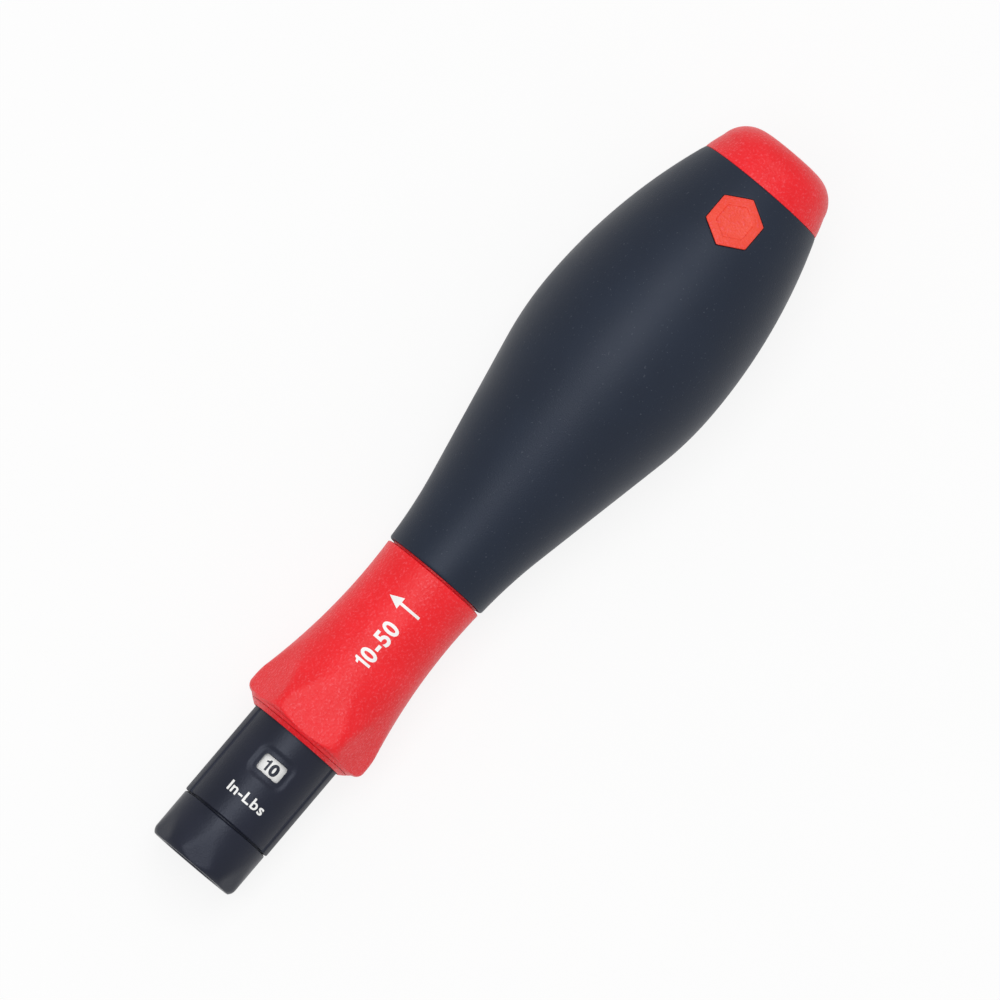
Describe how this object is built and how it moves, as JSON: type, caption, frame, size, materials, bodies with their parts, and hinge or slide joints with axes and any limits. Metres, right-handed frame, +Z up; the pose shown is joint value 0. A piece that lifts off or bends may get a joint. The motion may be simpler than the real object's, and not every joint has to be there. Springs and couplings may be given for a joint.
{
  "type": "torque screwdriver",
  "caption": "Adjustable torque screwdriver handle: waisted collar with flats, bulbous soft grip, scale window in the barrel and a hexagon blade socket in the nose.",
  "frame": {"origin": "middle of the footprint, on the surface that the tool lies on", "axes": "+X from the nose towards the rear dome, +Z up, the scale window looks up; the tool axis rises towards the dome by about five degrees"},
  "size_m": [0.1314, 0.0302, 0.0306],
  "materials": {
    "black_barrel": "satin black, fine grain",
    "black_plastic": "moulded black, satin",
    "red_plastic": "hard red moulding with an orange-peel grain",
    "soft_black": "soft overmould, matt with a slight sheen",
    "white_strip": "white printed strip",
    "steel": "turned and hardened steel",
    "spring_steel": "ground spring steel",
    "brass": "turned brass",
    "bronze": "sintered bronze",
    "seal_rubber": "black rubber cord"
  },
  "bodies": {
    "handle": {"nose_cap": "black_barrel", "scale_housing": "black_barrel", "thrust_washer": "bronze", "torque_spring": "spring_steel", "clutch_sleeve": "steel", "rear_thrust_washer": "bronze", "rear_bush": "bronze", "collar": "red_plastic", "collar_front_ring": "red_plastic", "grip_core": "red_plastic", "soft_grip": "soft_black", "housing_pins": "steel"},
    "setting": {"adjusting_screw": "steel", "brake_ring": "seal_rubber"},
    "scale": {"scale_carrier": "black_plastic", "number_strip": "white_strip", "setting_nut": "brass", "spring_front_seat": "steel"},
    "clutch": {"clutch_ring": "steel", "spring_rear_seat": "steel"},
    "spindle": {"output_spindle": "steel", "blade_snap_ring": "spring_steel", "ratchet_disc": "steel", "disc_pin": "steel", "retaining_clip": "spring_steel"}
  },
  "joints": [
    {"name": "torque_setting", "type": "hinge", "parent": "handle", "child": "setting", "pos_m": [-0.06279, 0, 0.00733], "axis": [0.9964, 0, 0.0848], "range_deg": [0, 2160]},
    {"name": "scale_slide", "type": "slide", "parent": "handle", "child": "scale", "axis": [0.9964, 0, 0.0848], "range_m": [0, 0.0084], "deforming": ["torque_spring"]},
    {"name": "clutch_lift", "type": "slide", "parent": "handle", "child": "clutch", "axis": [-0.9964, 0, -0.0848], "range_m": [0, 0.0007], "stiffness_N_per_m": 400, "springref_m": -0.005},
    {"name": "spindle_spin", "type": "hinge", "parent": "handle", "child": "spindle", "pos_m": [-0.06419, 0, 0.00721], "axis": [0.9964, 0, 0.0848], "continuous": true}
  ],
  "couplings": [
    {"joint": "torque_setting", "follows": "scale_slide", "rad_per_m": 4488}
  ]
}
